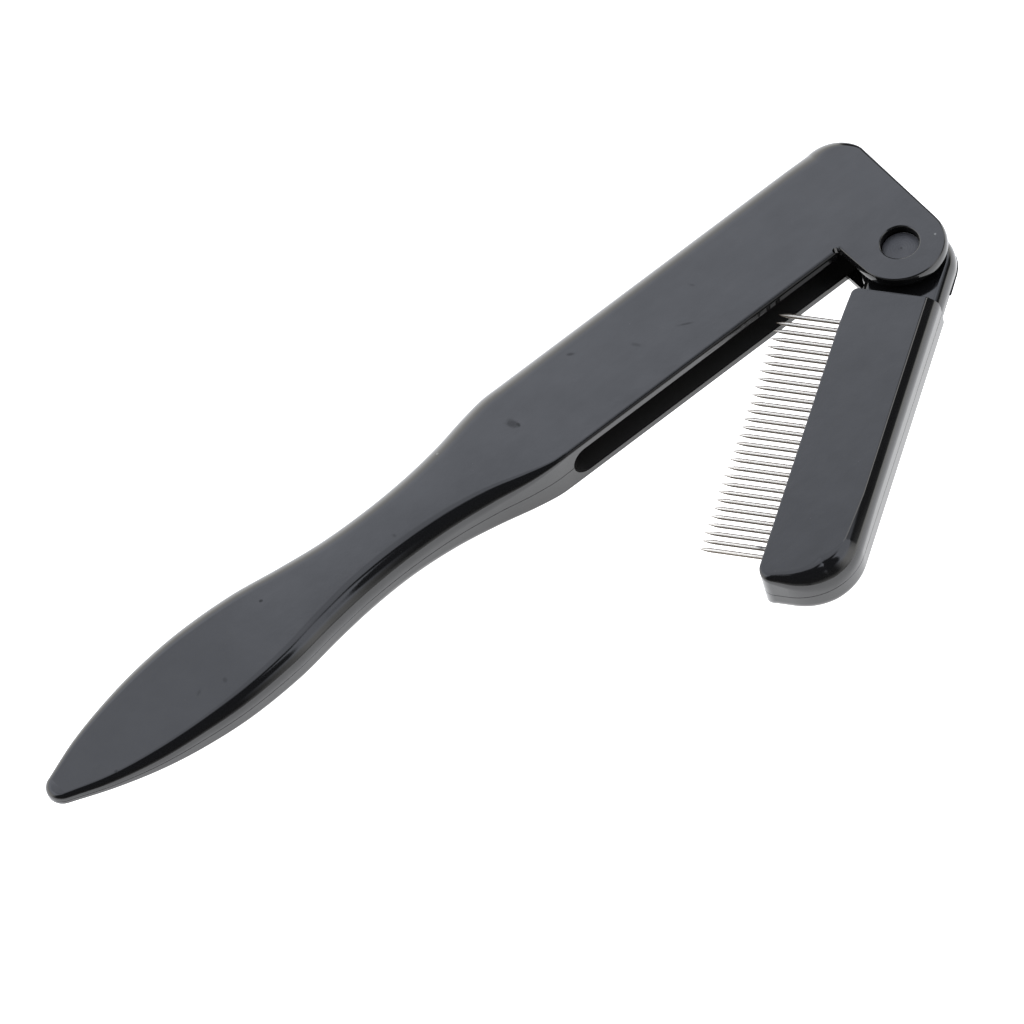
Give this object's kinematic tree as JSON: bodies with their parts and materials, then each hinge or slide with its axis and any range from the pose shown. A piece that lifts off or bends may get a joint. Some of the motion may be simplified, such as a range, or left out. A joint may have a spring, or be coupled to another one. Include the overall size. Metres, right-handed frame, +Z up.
{
  "type": "folding eyelash comb",
  "caption": "Slim folding eyelash comb: a leaf-tailed plastic handle with a slotted case, and a pivoting arm of fine steel pins that folds into the slot.",
  "frame": {"origin": "on the pivot axis, in the flat underside that the comb lies on", "axes": "+X along the handle towards its head, +Y towards the closed back of the case, +Z up, along the pivot axis"},
  "size_m": [0.1332, 0.0538, 0.0066],
  "materials": {
    "handle_plastic": "glossy black moulded plastic",
    "pivot_plastic": "semi-gloss black moulded plastic",
    "arm_plastic": "glossy black moulded plastic",
    "pin_steel": "drawn steel wire, ground to a point"
  },
  "bodies": {
    "handle": {"handle": "handle_plastic", "pivot_pin": "pivot_plastic"},
    "comb": {"comb_arm": "arm_plastic", "comb_pin_01": "pin_steel", "comb_pin_02": "pin_steel", "comb_pin_03": "pin_steel", "comb_pin_04": "pin_steel", "comb_pin_05": "pin_steel", "comb_pin_06": "pin_steel", "comb_pin_07": "pin_steel", "comb_pin_08": "pin_steel", "comb_pin_09": "pin_steel", "comb_pin_10": "pin_steel", "comb_pin_11": "pin_steel", "comb_pin_12": "pin_steel", "comb_pin_13": "pin_steel", "comb_pin_14": "pin_steel", "comb_pin_15": "pin_steel", "comb_pin_16": "pin_steel", "comb_pin_17": "pin_steel", "comb_pin_18": "pin_steel", "comb_pin_19": "pin_steel", "comb_pin_20": "pin_steel", "comb_pin_21": "pin_steel", "comb_pin_22": "pin_steel", "comb_pin_23": "pin_steel", "comb_pin_24": "pin_steel", "comb_pin_25": "pin_steel", "comb_pin_26": "pin_steel", "comb_pin_27": "pin_steel", "comb_pin_28": "pin_steel", "comb_pin_29": "pin_steel", "comb_pin_30": "pin_steel"}
  },
  "joints": [
    {"name": "comb_fold", "type": "hinge", "parent": "handle", "child": "comb", "pos_m": [0, 0, 0.0033], "axis": [0, 0, 1], "range_deg": [-35.5, 144.5]}
  ]
}
